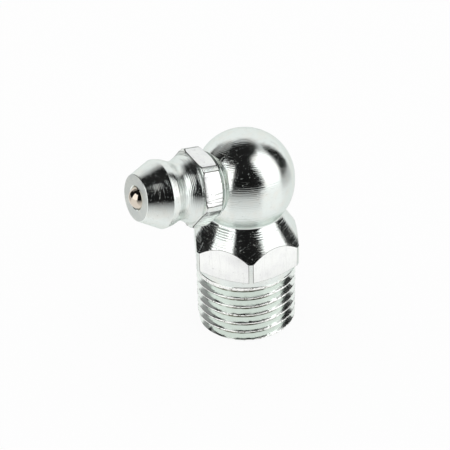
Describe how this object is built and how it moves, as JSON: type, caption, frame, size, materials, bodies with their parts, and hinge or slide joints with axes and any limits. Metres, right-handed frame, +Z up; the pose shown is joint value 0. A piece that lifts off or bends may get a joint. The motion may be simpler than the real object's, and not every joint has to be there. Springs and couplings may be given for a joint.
{
  "type": "grease nipple",
  "caption": "Ball-bodied elbow grease nipple: threaded shank, spanner hexagon and ball in one turned body, with a pressed-in coupler head and a spring-loaded check ball.",
  "frame": {"origin": "on the thread axis, at the end face of the threaded shank", "axes": "+Z up the thread axis, from the thread's end to the ball; -X under the coupler head, which points 8 degrees above it"},
  "size_m": [0.0182, 0.0102, 0.0208],
  "materials": {
    "zinc_plate": "bright zinc plate over turned steel",
    "polished_steel": "polished hardened steel ball with a warm straw tint",
    "spring_steel": "bare drawn spring wire"
  },
  "bodies": {
    "fitting": {"elbow_body": "zinc_plate", "nipple_head": "zinc_plate", "valve_spring": "spring_steel"},
    "valve": {"check_ball": "polished_steel"}
  },
  "joints": [
    {"name": "valve_lift", "type": "slide", "parent": "fitting", "child": "valve", "axis": [0.9903, 0, -0.1392], "range_m": [0, 0.0008], "stiffness_N_per_m": 400, "deforming": ["valve_spring"]}
  ]
}
